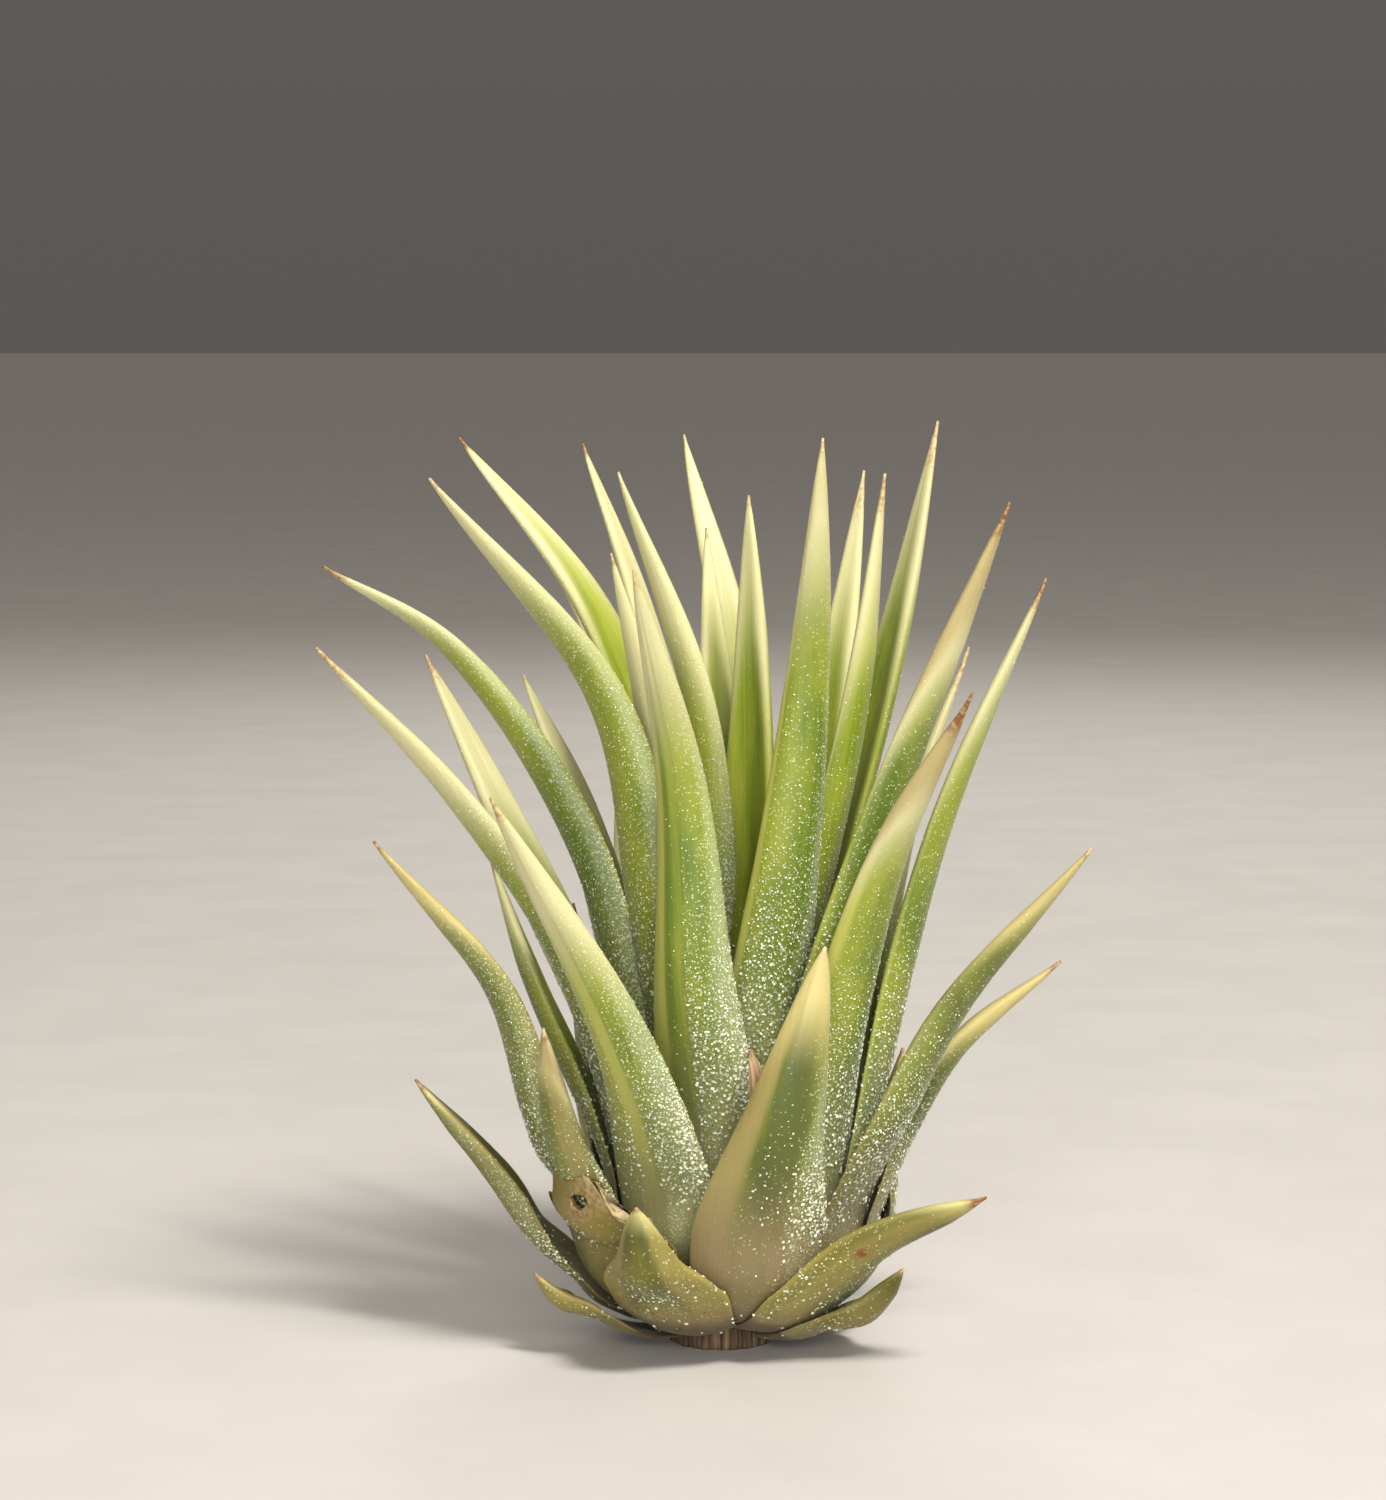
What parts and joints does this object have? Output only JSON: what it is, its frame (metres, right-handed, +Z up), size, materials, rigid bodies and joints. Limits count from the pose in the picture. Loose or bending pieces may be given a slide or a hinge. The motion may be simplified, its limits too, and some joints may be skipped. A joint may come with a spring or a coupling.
{
  "type": "air plant",
  "caption": "Small rosette air plant with stiff, tapering, scurfy green leaves that pack into a rounded bulb round a short woody stem.",
  "frame": {"origin": "middle of the stem's flat underside, on the surface that the plant stands on", "axes": "+Z up along the stem, -Y towards the viewer of the picture, +X to the viewer's right"},
  "size_m": [0.0588, 0.0467, 0.0722],
  "materials": {
    "leaf_outer": "grey-green leaf with dense silvery scurf, tan at the base",
    "leaf_middle": "yellow-green leaf with silvery scurf and a cream tip",
    "leaf_heart": "bright yellow-green leaf with fine lengthwise lines and a cream tip",
    "torn_sheath": "dull tan-green sheath with a dry brown rim",
    "dry_bract": "papery dry brown",
    "stem": "dry fibrous brown"
  },
  "bodies": {
    "root": {"stem": "stem", "leaf_low_left_small": "leaf_outer", "leaf_low_back_small": "leaf_outer", "leaf_low_right_under": "leaf_outer", "leaf_low_front_small": "leaf_outer", "leaf_low_back_right": "leaf_outer", "leaf_low_left": "leaf_outer", "leaf_low_right": "leaf_outer", "leaf_low_back_left": "leaf_outer", "torn_sheath": "torn_sheath", "leaf_back_low": "leaf_outer", "leaf_right_hidden": "leaf_outer", "leaf_front_broad": "leaf_outer", "leaf_left_yellow": "leaf_outer", "leaf_right_low": "leaf_outer", "leaf_left_low": "leaf_outer", "leaf_back_left_low": "leaf_outer", "leaf_right_mid": "leaf_outer", "leaf_back_mid": "leaf_outer", "leaf_back_right_low": "leaf_outer", "dry_bract": "dry_bract", "leaf_left_dark": "leaf_middle", "leaf_front_left": "leaf_middle", "leaf_right_tall": "leaf_middle", "leaf_back_left_mid": "leaf_middle", "leaf_left_mid": "leaf_middle", "leaf_front_right": "leaf_middle", "leaf_back_high": "leaf_middle", "leaf_left_back": "leaf_middle", "leaf_right_back": "leaf_middle", "leaf_front": "leaf_middle", "leaf_left_far": "leaf_middle", "leaf_right_front": "leaf_middle", "leaf_left_high": "leaf_middle", "leaf_back_right_high": "leaf_middle", "leaf_front_high": "leaf_middle", "leaf_front_left_high": "leaf_middle", "leaf_right_high": "leaf_middle", "leaf_back_left_high": "leaf_middle", "leaf_heart_front": "leaf_heart", "leaf_heart_right": "leaf_heart", "leaf_heart_far_left": "leaf_heart", "leaf_heart_back_right": "leaf_heart", "leaf_heart_back": "leaf_heart", "leaf_heart_left": "leaf_heart", "leaf_heart_centre": "leaf_heart", "leaf_heart_middle": "leaf_heart", "leaf_heart_near_left": "leaf_heart"}
  },
  "joints": []
}
